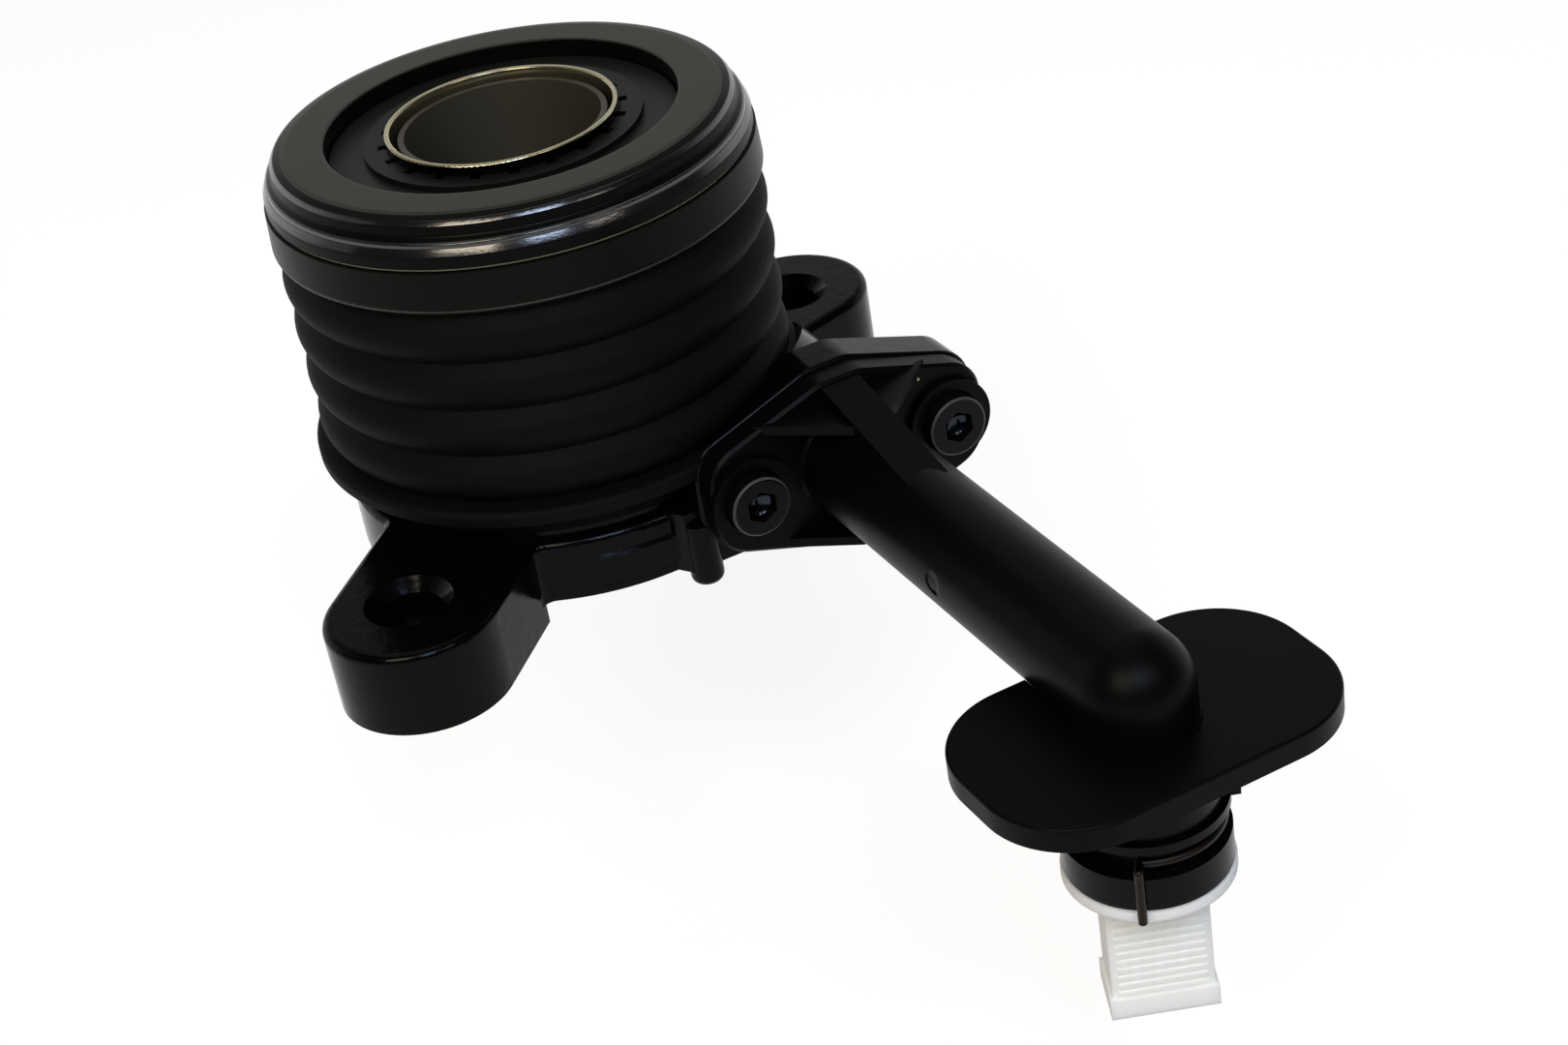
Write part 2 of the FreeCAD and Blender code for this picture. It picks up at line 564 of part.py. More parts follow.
def around(body, features, count):
    """Repeat features evenly about the upright axis."""
    pattern = body.newObject("PartDesign::PolarPattern", body.Name + "_pattern")
    pattern.Originals = features
    pattern.Axis = (plane(body, "Z_Axis"), [""])
    pattern.Angle = 360.0
    tie(pattern, "Occurrences", count)
    body.Tip = pattern
    doc.recompute()
    return pattern


def make_balls():
    """Steel balls of the bearing, evenly spaced on their pitch circle."""
    count = int(worth("ball_count"))
    pitch, high, radius = worth("ball_pitch_r"), worth("ball_high"), worth("ball_r")
    balls = []
    for i in range(count):
        turn = 2 * math.pi * i / count
        middle = FreeCAD.Vector(pitch * math.cos(turn), pitch * math.sin(turn), high)
        balls.append(Part.makeSphere(radius, middle))
    group = doc.addObject("Part::Feature", "balls")
    group.Label = "balls"
    group.Shape = Part.makeCompound(balls)
    return group


def make_shield():
    """Flat shield ring inside the contact ring, seated on the fixed race."""
    top = "race_top + shield_deep"
    return turned("bearing_seal", [
        ("race_bore_r", "race_top"), ("face_in_r - shield_lip", "race_top"), ("face_in_r - shield_lip", top),
        ("race_bore_r", top)])


def make_washer():
    """Toothed washer that grips the carrier above the shield."""
    low = "race_top + shield_deep"
    body = turned("retaining_washer", [
        ("carrier_r + carrier_wall + run_gap", low), ("carrier_r + washer_w", low),
        ("carrier_r + washer_w", low + " + washer_deep"),
        ("carrier_r + carrier_wall + run_gap", low + " + washer_deep")])
    notch = outline(body, "notch", "XY_Plane", [
        ("carrier_r", "-washer_notch_w / 2"), ("carrier_r + notch_reach", "-washer_notch_w / 2"),
        ("carrier_r + notch_reach", "washer_notch_w / 2"), ("carrier_r", "washer_notch_w / 2")], low)
    cut = push(body, notch, "washer_deep * 2", "Pocket", back=True)
    around(body, [cut], "washer_notches")
    return body


def make_preload_spring():
    """Coil spring round the cylinder, between the base and the spring cup, in flat facets."""
    radius, wire = worth("coil_r"), worth("wire_r")
    low, high = worth("neck_top + wire_r + seat_gap"), worth("web_low - wire_r - seat_gap")
    sides, steps, turns = 8, 20, int(worth("coil_turns"))
    rings = []
    for i in range(steps * turns + 1):
        turn, level = 2 * math.pi * i / steps, low + (high - low) * i / (steps * turns)
        rings.append([])
        for j in range(sides):
            side = 2 * math.pi * j / sides
            reach = radius + wire * math.cos(side)
            rings[-1].append(FreeCAD.Vector(reach * math.cos(turn), reach * math.sin(turn),
                                            level + wire * math.sin(side)))
    faces = [Part.Face(Part.makePolygon(end + end[:1])) for end in (rings[0], rings[-1])]
    for one, two in zip(rings, rings[1:]):
        for j in range(sides):
            k = (j + 1) % sides
            for corners in ((one[j], one[k], two[k]), (one[j], two[k], two[j])):
                faces.append(Part.Face(Part.makePolygon(list(corners) + [corners[0]])))
    solid = Part.Solid(Part.Shell(faces))
    if solid.Volume < 0:
        solid.reverse()
    coil = doc.addObject("Part::Feature", "preload_spring")
    coil.Label = "preload_spring"
    coil.Shape = solid
    return coil


def make_dust_boot():
    """Rubber bellows with a foot gripping the neck and a top tucked under the band."""
    folds = int(worth("boot_folds"))
    pitch = "(boot_fold_top - boot_foot_top) / boot_folds"
    half = "(%s / 2 - boot_fold_flank)" % pitch
    crest = "boot_crest_r - boot_bulge"
    centre = "boot_crest_r - (%s ^ 2 + boot_bulge ^ 2) / (2 * boot_bulge)" % half
    outer = [("boot_foot_r", "neck_top"), ("boot_foot_r", "boot_foot_top - boot_foot_fall"),
             ("boot_groove_r", "boot_foot_top")]
    inner = [("boot_groove_r - boot_wall", "boot_foot_top")]
    for i in range(folds):
        low = "boot_foot_top + %d * %s" % (i, pitch)
        high = "boot_foot_top + %d * %s" % (i + 1, pitch)
        outer += [(crest, low + " + boot_fold_flank", centre), (crest, high + " - boot_fold_flank"),
                  ("boot_groove_r", high)]
        inner += [(crest + " - boot_wall", low + " + boot_fold_flank"),
                  (crest + " - boot_wall", high + " - boot_fold_flank", centre + " - boot_wall"),
                  ("boot_groove_r - boot_wall", high)]
    collar = "neck_r - boot_hold_wall + run_gap"
    foot = [(collar, "boot_foot_top - boot_wall"), (collar, "boot_hold_low + run_gap"),
            ("neck_r", "boot_hold_low + run_gap"), ("neck_r", "neck_top")]
    top = [("boot_top_r", "boot_fold_top + boot_cuff"), ("boot_top_r", "boot_top"),
           ("boot_top_r - boot_wall", "boot_top"), ("boot_top_r - boot_wall", "boot_fold_top + boot_cuff")]
    body = turned("dust_boot", outer + top + inner[::-1] + foot)
    soften(body, "boot_foot_round", ring_at(("boot_foot_r", "boot_foot_top - boot_foot_fall")))
    return body


def make_inlet_pipe():
    """Moulded pipe: sealed spigot, rhomb flange with ribs, straight run and tight elbow."""
    body = new_body("inlet_pipe")
    face = "flange_face"
    ring_low = "port_face - spigot_deep + port_ring_in"
    run = outline(body, "pipe_section", "XY_Plane", [
        ("port_face - spigot_deep", "pipe_bore_r"), ("elbow_x", "pipe_bore_r"), ("elbow_x", "pipe_r"),
        ("port_face", "pipe_r"), ("port_face", "spigot_r"),
        (ring_low + " + port_ring_r * 2.2", "spigot_r"),
        (ring_low + " + port_ring_r * 2.2", "port_r - port_ring_r * 2.04"),
        (ring_low, "port_r - port_ring_r * 2.04"), (ring_low, "spigot_r"),
        ("port_face - spigot_deep", "spigot_r")])
    spin(body, run, "H_Axis")
    knee = body.newObject("PartDesign::AdditiveSphere", "knee")
    knee.AttachmentSupport = [(plane(body, "XY_Plane"), "")]
    knee.MapMode = "FlatFace"
    tie(knee, "Radius", "pipe_r")
    tie(knee, "AttachmentOffset.Base.x", "elbow_x")
    doc.recompute()
    under = "plate_top - plate_deep - pipe_z"
    leg = disc(body, "leg", "XY_Plane", "elbow_x", "0", "pipe_r", under)
    push(body, leg, "-(%s)" % under)
    foot = disc(body, "leg_foot", "XY_Plane", "elbow_x", "0", "leg_r", under)
    push(body, foot, "plate_deep + leg_stand")
    spigot = disc(body, "leg_spigot", "XY_Plane", "elbow_x", "0", "leg_spigot_r", "spigot_end - pipe_z")
    push(body, spigot, "plate_top - plate_deep - spigot_end")
    flange = outline(body, "flange", "YZ_Plane", rhomb("0", "0"), "port_face")
    push(body, flange, "flange_deep")
    round_along_x(body, "flange_round", "port_face", face)
    soften(body, "flange_edge", rim_of_face(face), "Chamfer")
    ridge = outline(body, "ridge", "XZ_Plane", [
        (face + " - 1", "pipe_r - 2"), (face + " + ridge_run", "pipe_r - 2"),
        (face + " + ridge_run", "pipe_r - ridge_sink"),
        (face, "ridge_rise"), (face + " - 1", "ridge_rise")])
    push(body, ridge, "ridge_w", both=True)
    for name, low, grown in (("top_web", "web_z", ""), ("low_web", "-(web_z + rib_deep)", "low_")):
        reach, half = face + " + %sweb_reach" % grown, "%sweb_half" % grown
        web = outline(body, name, "XY_Plane", [
            (face + " - 1", "-" + half), (reach, "-ridge_w / 2"), (reach, "ridge_w / 2"),
            (face + " - 1", half)], low)
        push(body, web, "rib_deep")
    for side in (-1, 1):
        across = "(%d) * screw_span / 2" % side
        push(body, disc(body, "screw_pad", "YZ_Plane", across, "0", "pad_r", face), "pad_proud")
    pad_top = "flange_face + pad_proud"
    for side in (-1, 1):
        across = "(%d) * screw_span / 2" % side
        hole = disc(body, "screw_hole", "YZ_Plane", across, "0", "screw_r + bush_wall + bush_gap", pad_top)
        push(body, hole, "flange_deep + pad_proud", "Pocket")
        seat = disc(body, "head_seat", "YZ_Plane", across, "0", "head_r + bush_gap * 2", pad_top)
        push(body, seat, pad_top + " - head_top + head_deep", "Pocket")
    bore = disc(body, "leg_bore", "XY_Plane", "elbow_x", "0", "pipe_bore_r", "spigot_end - pipe_z - 1")
    push(body, bore, "pipe_z - spigot_end + 1 + pipe_bore_r", "Pocket", back=True)
    turnin = disc(body, "elbow_bore", "YZ_Plane", "0", "0", "pipe_bore_r", "elbow_x")
    push(body, turnin, "pipe_bore_r", "Pocket")
    place(body, "0", "pipe_y", "pipe_z")
    return body


def make_port_seal():
    ring_low = "port_face - spigot_deep + port_ring_in"
    return torus("port_seal", "port_r - port_ring_r * 1.02", "port_ring_r * 0.97",
                 ring_low + " + port_ring_r * 1.1", "pipe_y", "pipe_z", along_x=True)


def pair(node, maker):
    """Two like pieces, one each side of the pipe, as one node of separate solids."""
    both = doc.addObject("Part::Compound", node)
    both.Label = node
    both.Links = [maker("%s_%s" % (node, name), side) for name, side in (("left", -1), ("right", 1))]
    doc.recompute()
    return both


def make_screw(name, side):
    """Socket cap screw along X, its head outwards."""
    body = new_body(name)
    seat = "head_top - head_deep"
    spin(body, outline(body, name + "_section", "XY_Plane", [
        ("port_face - screw_reach", "0"), ("head_top", "0"), ("head_top", "head_r"), (seat, "head_r"),
        (seat, "screw_r - run_gap"), ("port_face - screw_reach", "screw_r - run_gap")]), "H_Axis")
    across, rise = "hex_flats / 2", "hex_flats / sqrt(3)"
    hexagon = outline(body, name + "_hex", "YZ_Plane", [
        ("0", "-(%s)" % rise), (across, "-(%s) / 2" % rise), (across, "%s / 2" % rise), ("0", rise),
        ("-(%s)" % across, "%s / 2" % rise), ("-(%s)" % across, "-(%s) / 2" % rise)], "head_top")
    push(body, hexagon, "hex_deep", "Pocket")

    def rim(edge):
        curve = edge.Curve
        return isinstance(curve, Part.Circle) and near(curve.Radius, worth("head_r")) \
            and near(curve.Center.x, worth("head_top"))
    soften(body, "head_round", rim)
    place(body, "0", "pipe_y + (%d) * screw_span / 2" % side, "pipe_z")
    return body


def make_bushing(name, side):
    """Steel sleeve that takes the clamping force through the moulded flange."""
    body = new_body(name)
    seat = "head_top - head_deep"
    spin(body, outline(body, name + "_section", "XY_Plane", [
        ("port_face", "screw_r + run_gap"), (seat, "screw_r + run_gap"), (seat, "screw_r + bush_wall"),
        ("port_face", "screw_r + bush_wall")]), "H_Axis")
    place(body, "0", "pipe_y + (%d) * screw_span / 2" % side, "pipe_z")
    return body


def make_closing_plate():
    """Flat plate on the elbow's leg, with a channel for the pipe's underside."""
    body = new_body("closing_plate")
    half_w, half_l = "plate_w / 2", "plate_l / 2"
    low = "plate_top - plate_deep"
    sheet_plate = outline(body, "plate", "XY_Plane", [
        ("-" + half_w, "-" + half_l), (half_w, "-" + half_l), (half_w, half_l), ("-" + half_w, half_l)], low)
    push(body, sheet_plate, "plate_deep")

    def upright(edge):
        ends = [v.Point for v in edge.Vertexes]
        return len(ends) == 2 and near(ends[0].x, ends[1].x) and near(ends[0].y, ends[1].y)
    soften(body, "plate_round", upright)

    def rim(edge):
        return all(near(v.Point.z, worth("plate_top")) for v in edge.Vertexes)
    soften(body, "plate_edge", rim)
    hole = disc(body, "leg_hole", "XY_Plane", "0", "-plate_shift", "leg_r + run_gap", low)
    push(body, hole, "plate_deep", "Pocket", back=True)
    channel = disc(body, "pipe_channel", "YZ_Plane", "-plate_shift", "pipe_z", "pipe_r + seat_gap", "0")
    push(body, channel, half_w + " + 1", "Pocket")
    place(body, "elbow_x", "pipe_y + plate_shift", "0")
    return body


def make_socket_body():
    """Quick-fit line socket under the plate, slotted at the front for its wire clip."""
    body = turned("socket_body", [
        ("socket_bore_r", "socket_low"), ("socket_r", "socket_low"), ("socket_r", "slot_top + collar_deep"),
        ("socket_neck_r", "slot_top + collar_deep"), ("socket_neck_r", "plate_top - plate_deep"),
        ("leg_spigot_r + run_gap", "plate_top - plate_deep"), ("leg_spigot_r + run_gap", "spigot_end"),
        ("pipe_bore_r", "spigot_end"), ("pipe_bore_r", "socket_bore_top"),
        ("socket_bore_r", "socket_bore_top")])
    slot = outline(body, "clip_slot", "XZ_Plane", [
        ("slot_r", "slot_low"), ("socket_r + 1", "slot_low"), ("socket_r + 1", "slot_top"),
        ("slot_r", "slot_top")])
    cut = body.newObject("PartDesign::Groove", "clip_slot_cut")
    cut.Profile = slot
    cut.ReferenceAxis = (slot, ["V_Axis"])
    tie(cut, "Angle", "slot_angle")
    cut.Midplane = True
    doc.recompute()
    lug = outline(body, "lug", "XY_Plane", [
        ("socket_neck_r - 1", "-lug_w / 2"), ("socket_r + lug_proud", "-lug_w / 2"),
        ("socket_r + lug_proud", "lug_w / 2"), ("socket_neck_r - 1", "lug_w / 2")], "slot_top", "lug_angle")
    push(body, lug, "-slot_top + 1")
    soften(body, "socket_round", ring_at(("socket_r", "socket_low")))
    place(body, "elbow_x", "pipe_y", "0")
    tie(body, "Placement.Rotation.Angle", "front_angle")
    doc.recompute()
    return body


def make_socket_seal():
    return torus("socket_seal", "socket_bore_r - socket_ring_r - run_gap", "socket_ring_r",
                 "elbow_x", "pipe_y", "slot_low + 0.6")


def make_wire_clip():
    """Spring wire lying in the socket's slot, its tail bent out and down at the front."""
    level = "(slot_low + slot_top) / 2"
    ring = doc.addObject("Part::Torus", "clip_ring")
    tie(ring, "Radius1", "clip_r")
    tie(ring, "Radius2", "clip_wire_r")
    tie(ring, "Angle3", "clip_sweep")
    pieces = [ring]
    for name, reach in (("clip_bend", "clip_r"), ("tail_bend", "clip_tail_r")):
        knuckle = doc.addObject("Part::Sphere", name)
        tie(knuckle, "Radius", "clip_wire_r * 1.06")
        tie(knuckle, "Placement.Base.x", reach)
        pieces.append(knuckle)
    arm = doc.addObject("Part::Cylinder", "clip_arm")
    arm.Placement.Rotation = FreeCAD.Rotation(FreeCAD.Vector(0, 1, 0), 90)
    tie(arm, "Height", "clip_tail_r - clip_r")
    tie(arm, "Placement.Base.x", "clip_r")
    tail = doc.addObject("Part::Cylinder", "clip_tail")
    tie(tail, "Height", level + " - clip_tail_low")
    tie(tail, "Placement.Base.x", "clip_tail_r")
    tie(tail, "Placement.Base.z", "clip_tail_low - (%s)" % level)
    for rod in (arm, tail):
        tie(rod, "Radius", "clip_wire_r")
        pieces.append(rod)
    clip = doc.addObject("Part::MultiFuse", "wire_clip")
    clip.Label = "wire_clip"
    clip.Shapes = pieces
    place(clip, "elbow_x", "pipe_y", level)
    tie(clip, "Placement.Rotation.Angle", "clip_angle")
    doc.recompute()
    return clip


def make_transport_plug():
    """Shipping plug with a stem in the socket and a ribbed grip below."""
    body = turned("transport_plug", [
        ("0", "socket_low - plug_flange_deep"), ("plug_flange_r", "socket_low - plug_flange_deep"),
        ("plug_flange_r", "socket_low"), ("socket_bore_r - seat_gap", "socket_low"),
        ("socket_bore_r - seat_gap", "plug_step"), ("plug_stem_r", "plug_step"),
        ("plug_stem_r", "plug_stem_top"), ("0", "plug_stem_top")])
    wide, deep = "grip_w / 2", "grip_d / 2"
    grip = outline(body, "grip", "XY_Plane", [
        ("-" + deep, "-" + wide), (deep, "-" + wide), (deep, wide), ("-" + deep, wide)], "grip_low")
    push(body, grip, "socket_low - plug_flange_deep - grip_low")
    toe = outline(body, "toe", "XY_Plane", [
        ("-toe_d / 2", "-toe_w / 2"), ("toe_d / 2", "-toe_w / 2"), ("toe_d / 2", "toe_w / 2"),
        ("-toe_d / 2", "toe_w / 2")], "grip_low")
    push(body, toe, "toe_deep")
    span = "(socket_low - plug_flange_deep - grip_low - toe_deep)"
    rib_d, rib_w = deep + " + rib_proud", wide + " - rib_in"
    rib = outline(body, "rib", "XY_Plane", [
        ("-(%s)" % rib_d, "-(%s)" % rib_w), (rib_d, "-(%s)" % rib_w), (rib_d, rib_w),
        ("-(%s)" % rib_d, rib_w)],
        "grip_low + toe_deep + %s / grip_ribs * 0.3" % span)
    first = push(body, rib, span + " / grip_ribs / 2")
    rows = body.newObject("PartDesign::LinearPattern", "grip_rows")
    rows.Originals = [first]
    rows.Direction = (plane(body, "Z_Axis"), [""])
    tie(rows, "Length", "%s * (grip_ribs - 1) / grip_ribs" % span)
    tie(rows, "Occurrences", "grip_ribs")
    body.Tip = rows
    place(body, "elbow_x", "pipe_y", "0")
    tie(body, "Placement.Rotation.Angle", "front_angle")
    doc.recompute()
    return body


NODES = [
    make_housing(), make_guide_sleeve(), make_sleeve_seal(), make_piston(), make_piston_seal(),
    make_spring_cup(), make_bearing_carrier(), make_race(), make_contact_ring(), make_cage(), make_balls(),
    make_shield(), make_washer(), make_preload_spring(), make_dust_boot(), make_inlet_pipe(),
    make_port_seal(), pair("flange_bushings", make_bushing), pair("flange_screws", make_screw),
    make_closing_plate(), make_socket_body(), make_socket_seal(), make_wire_clip(), make_transport_plug(),
]


def write_parts():
    """Check every object, then write one STEP file for each node."""
    doc.recompute()
    for thing in doc.Objects:
        if "Invalid" in thing.State or "Error" in thing.State:
            raise RuntimeError("%s did not build: %s" % (thing.Label, thing.State))
    os.makedirs("parts", exist_ok=True)
    for node in NODES:
        shape = node.Shape
        if shape.isNull() or not shape.isValid() or not shape.Solids:
            raise RuntimeError("%s has no good shape" % node.Label)
        shape.exportStep("parts/%s.step" % node.Label)
        print(node.Label, len(shape.Solids), "solids", round(shape.Volume, 1), "mm3")


write_parts()
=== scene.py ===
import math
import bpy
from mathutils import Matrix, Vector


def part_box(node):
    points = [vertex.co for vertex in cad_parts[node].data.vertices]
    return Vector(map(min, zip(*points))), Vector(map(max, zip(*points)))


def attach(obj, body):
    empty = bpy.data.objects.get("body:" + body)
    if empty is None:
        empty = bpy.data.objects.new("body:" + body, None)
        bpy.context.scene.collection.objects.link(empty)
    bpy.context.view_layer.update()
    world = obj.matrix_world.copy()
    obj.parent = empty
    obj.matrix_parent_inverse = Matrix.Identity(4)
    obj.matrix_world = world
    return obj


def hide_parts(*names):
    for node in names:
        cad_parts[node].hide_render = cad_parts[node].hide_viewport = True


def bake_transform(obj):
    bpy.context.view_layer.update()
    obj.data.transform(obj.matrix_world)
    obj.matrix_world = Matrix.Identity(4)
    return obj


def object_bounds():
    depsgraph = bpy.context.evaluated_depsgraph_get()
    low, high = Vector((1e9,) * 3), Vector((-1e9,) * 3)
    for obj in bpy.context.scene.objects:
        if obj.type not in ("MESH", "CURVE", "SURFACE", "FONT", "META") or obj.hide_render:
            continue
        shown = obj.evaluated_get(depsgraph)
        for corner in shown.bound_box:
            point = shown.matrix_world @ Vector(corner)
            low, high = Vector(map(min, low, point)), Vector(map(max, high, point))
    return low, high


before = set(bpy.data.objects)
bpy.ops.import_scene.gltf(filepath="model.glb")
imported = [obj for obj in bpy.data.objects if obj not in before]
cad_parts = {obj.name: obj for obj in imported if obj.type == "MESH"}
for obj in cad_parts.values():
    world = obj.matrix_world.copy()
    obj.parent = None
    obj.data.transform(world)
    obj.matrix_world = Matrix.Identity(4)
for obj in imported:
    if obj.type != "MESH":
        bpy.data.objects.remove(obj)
CAD_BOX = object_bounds()

# %% [markdown]
# This scene dresses a clutch slave cylinder: the hydraulic cylinder with a bearing on top that
# pushes a clutch open. The solids come ready from the CAD frame, so the lesson is about light and
# finishes. Nearly everything is black, and only the finishes tell the pieces apart: gloss paint on
# the casting, oiled black oxide on the steel, dull rubber on the boot, dry nylon on the pipe.

MM = 0.001


def show(title, value):
    print("%-28s %s" % (title, value))


for name in sorted(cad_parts):
    low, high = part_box(name)
    show(name, [round((b - a) / MM, 1) for a, b in zip(low, high)])

# %% [markdown]
# Colours are written as sRGB hex, as a colour picker shows them. The shader works with linear
# light, so one function turns them over. Linear numbers could be typed straight in, but nobody reads
# a colour from those.

# %% Colour


def linear(hexed):
    parts = [int(hexed[i:i + 2], 16) / 255 for i in (1, 3, 5)]
    return tuple(c / 12.92 if c <= 0.04045 else ((c + 0.055) / 1.055) ** 2.4 for c in parts) + (1.0,)


show("mid grey in linear light", round(linear("#808080")[0], 3))

# %% [markdown]
# A material is a small net of nodes. One function adds a node, sets what it is told and joins it to
# other nodes. A plain number goes onto the shader's own socket, so that it survives an export. Fine
# relief is bump, noise at the real size of the grain in millimetres, because no mesh could hold it.
# At this distance a millimetre is about 7 pixels wide, so a grain under 0.3 mm would not show.

# %% Nodes


def add(tree, kind, sockets=None, **settings):
    made = tree.nodes.new(kind)
    for key, value in settings.items():
        setattr(made, key, value)
    for key, value in (sockets or {}).items():
        if isinstance(value, bpy.types.NodeSocket):
            tree.links.new(value, made.inputs[key])
        else:
            made.inputs[key].default_value = value
    return made


def new_finish(name, colour, roughness, metallic=0.0, **sockets):
    """A material with one Principled shader, and its tree and shader to build on."""
    material = bpy.data.materials.new(name)
    material.use_nodes = True
    tree = material.node_tree
    shader = tree.nodes["Principled BSDF"]
    shader.inputs["Base Color"].default_value = linear(colour)
    shader.inputs["Roughness"].default_value = roughness
    shader.inputs["Metallic"].default_value = metallic
    for key, value in sockets.items():
        shader.inputs[key.replace("_", " ")].default_value = value
    return material, tree, shader


def grain(tree, shader, size_mm, depth_mm, detail=2.0, stretch=(1, 1, 1)):
    """Fine relief of a real size, as bump. Returns the place on the part and the bump."""
    place = add(tree, "ShaderNodeTexCoord").outputs["Object"]
    scaled = add(tree, "ShaderNodeMapping", {"Vector": place, "Scale": stretch})
    noise = add(tree, "ShaderNodeTexNoise", {"Vector": scaled.outputs["Vector"],
                                             "Scale": 1 / (size_mm * MM), "Detail": detail})
    bump = add(tree, "ShaderNodeBump", {"Height": noise.outputs["Fac"],
                                        "Distance": depth_mm * MM, "Strength": 1.0})
    tree.links.new(bump.outputs["Normal"], shader.inputs["Normal"])
    return place, bump


def dress(material, *nodes):
    for node in nodes:
        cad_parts[node].material_slots[0].material = material
    show(material.name, ", ".join(nodes))


# %% [markdown]
# The housing is an aluminium casting in gloss black paint. Paint is a smooth skin over a rough cast
# surface, so its highlights are sharp and wavy at once. A clear coat over a rough base could make
# this. One layer with low roughness and a soft, broad bump looks the same here and has fewer parts.
# Waves in such a paint are 1 to 2 mm long. Its shine is low, or the white studio would grey it.

# %% Painted casting
CAST_WAVE, CAST_DEPTH, CAST_DETAIL = 1.6, 0.04, 3.0
paint, paint_tree, paint_shader = new_finish("gloss black paint on aluminium casting", "#030304",
                                             0.16, Specular_IOR_Level=0.075)
grain(paint_tree, paint_shader, CAST_WAVE, CAST_DEPTH, detail=CAST_DETAIL)
dress(paint, "housing")

# %% [markdown]
# The boot is moulded EPDM rubber. Its blacking and a dusty bloom leave it nearly without shine, with
# a fine tooth from its blasted mould. A layer of sheen could give the bloom, but high roughness with
# hardly any shine does it with two numbers. The real tooth is about 0.1 mm and is drawn at 0.4 mm,
# or it would not show. The seals are smoother nitrile, so a faint even sheen lies on the flat shield.

# %% Rubber
BOOT_TOOTH, TOOTH_DEPTH = 0.4, 0.07
rubber, rubber_tree, rubber_shader = new_finish("moulded EPDM rubber", "#090908", 0.6,
                                                Specular_IOR_Level=0.05)
grain(rubber_tree, rubber_shader, BOOT_TOOTH, TOOTH_DEPTH)
seal_rubber, _, _ = new_finish("nitrile rubber seal", "#12120f", 0.45, Specular_IOR_Level=0.12)
dress(seal_rubber, "sleeve_seal", "port_seal", "socket_seal", "piston_seal", "bearing_seal")

# %% [markdown]
# Two pieces are soft: the boot, and the coil spring inside it. Both stand on the cylinder and carry
# the bearing, so they shorten when it goes down. Shape keys could do that for one stroke. Here each
# piece gets a copy of its solid's mesh in its own finish, which takes the solid's place. The spring
# is bright wire in a film of oil, which browns it and softens its glints.

# %% Boot and spring
BOOT_LOW, BOOT_HIGH = 18.5, 47.8
SPRING_LOW, SPRING_HIGH = 17.1, 48.5


def shortens(node, name, finish, low_mm, high_mm):
    piece = bpy.data.objects.new(name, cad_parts[node].data.copy())
    bpy.context.collection.objects.link(piece)
    piece.data.materials.clear()
    piece.data.materials.append(finish)
    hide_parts(node)
    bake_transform(piece)
    show(name, "shortens from %.1f to %.1f mm" % (low_mm, high_mm))


shortens("dust_boot", "boot_folds", rubber, BOOT_LOW, BOOT_HIGH)
spring_steel, _, _ = new_finish("oiled spring steel", "#47443a", 0.5, metallic=0.6,
                                Specular_IOR_Level=0.3)
shortens("preload_spring", "coil_spring", spring_steel, SPRING_LOW, SPRING_HIGH)

# %% [markdown]
# The pipe, its flange and the plate are glass-filled nylon, moulded in a spark-eroded tool. The
# fibres reach the skin, which breaks up the shine into a dry, even sheen. Spark grain is some 0.05 mm
# across and is drawn at 0.35 mm, so that it shows. Halfway along the pipe is the gate mark, the
# dimple where the melt came in. It could be cut from the mesh, but it is small and shallow, so the
# distance from its middle draws it as a second bump. The line socket comes from a polished tool and
# has a gloss. The hidden ball cage is nylon in its own cream.

# %% Nylon
SPARK_GRAIN, SPARK_DEPTH = 0.35, 0.012
GATE = Vector((71.3, 17.6, 14.35)) * MM
GATE_INNER, GATE_OUTER, GATE_DEPTH = 0.9, 1.7, 0.8
nylon, nylon_tree, nylon_shader = new_finish("glass-filled nylon PA66", "#040404", 0.38,
                                             Specular_IOR_Level=0.055)
nylon_place, nylon_bump = grain(nylon_tree, nylon_shader, SPARK_GRAIN, SPARK_DEPTH)
off_gate = add(nylon_tree, "ShaderNodeVectorMath", {0: nylon_place, 1: GATE}, operation="DISTANCE")
gate_wall = add(nylon_tree, "ShaderNodeMapRange", {"Value": off_gate.outputs["Value"],
                                                   "From Min": GATE_INNER * MM,
                                                   "From Max": GATE_OUTER * MM})
dimple = add(nylon_tree, "ShaderNodeBump", {"Height": gate_wall.outputs["Result"],
                                            "Distance": GATE_DEPTH * MM, "Strength": 1.0,
                                            "Normal": nylon_bump.outputs["Normal"]})
nylon_tree.links.new(dimple.outputs["Normal"], nylon_shader.inputs["Normal"])
dress(nylon, "inlet_pipe", "closing_plate")
gloss_nylon, _, _ = new_finish("polished nylon PA66", "#050505", 0.25, Specular_IOR_Level=0.08)
dress(gloss_nylon, "socket_body")
cage_nylon, _, _ = new_finish("natural nylon", "#b9ad92", 0.5)
dress(cage_nylon, "ball_cage")
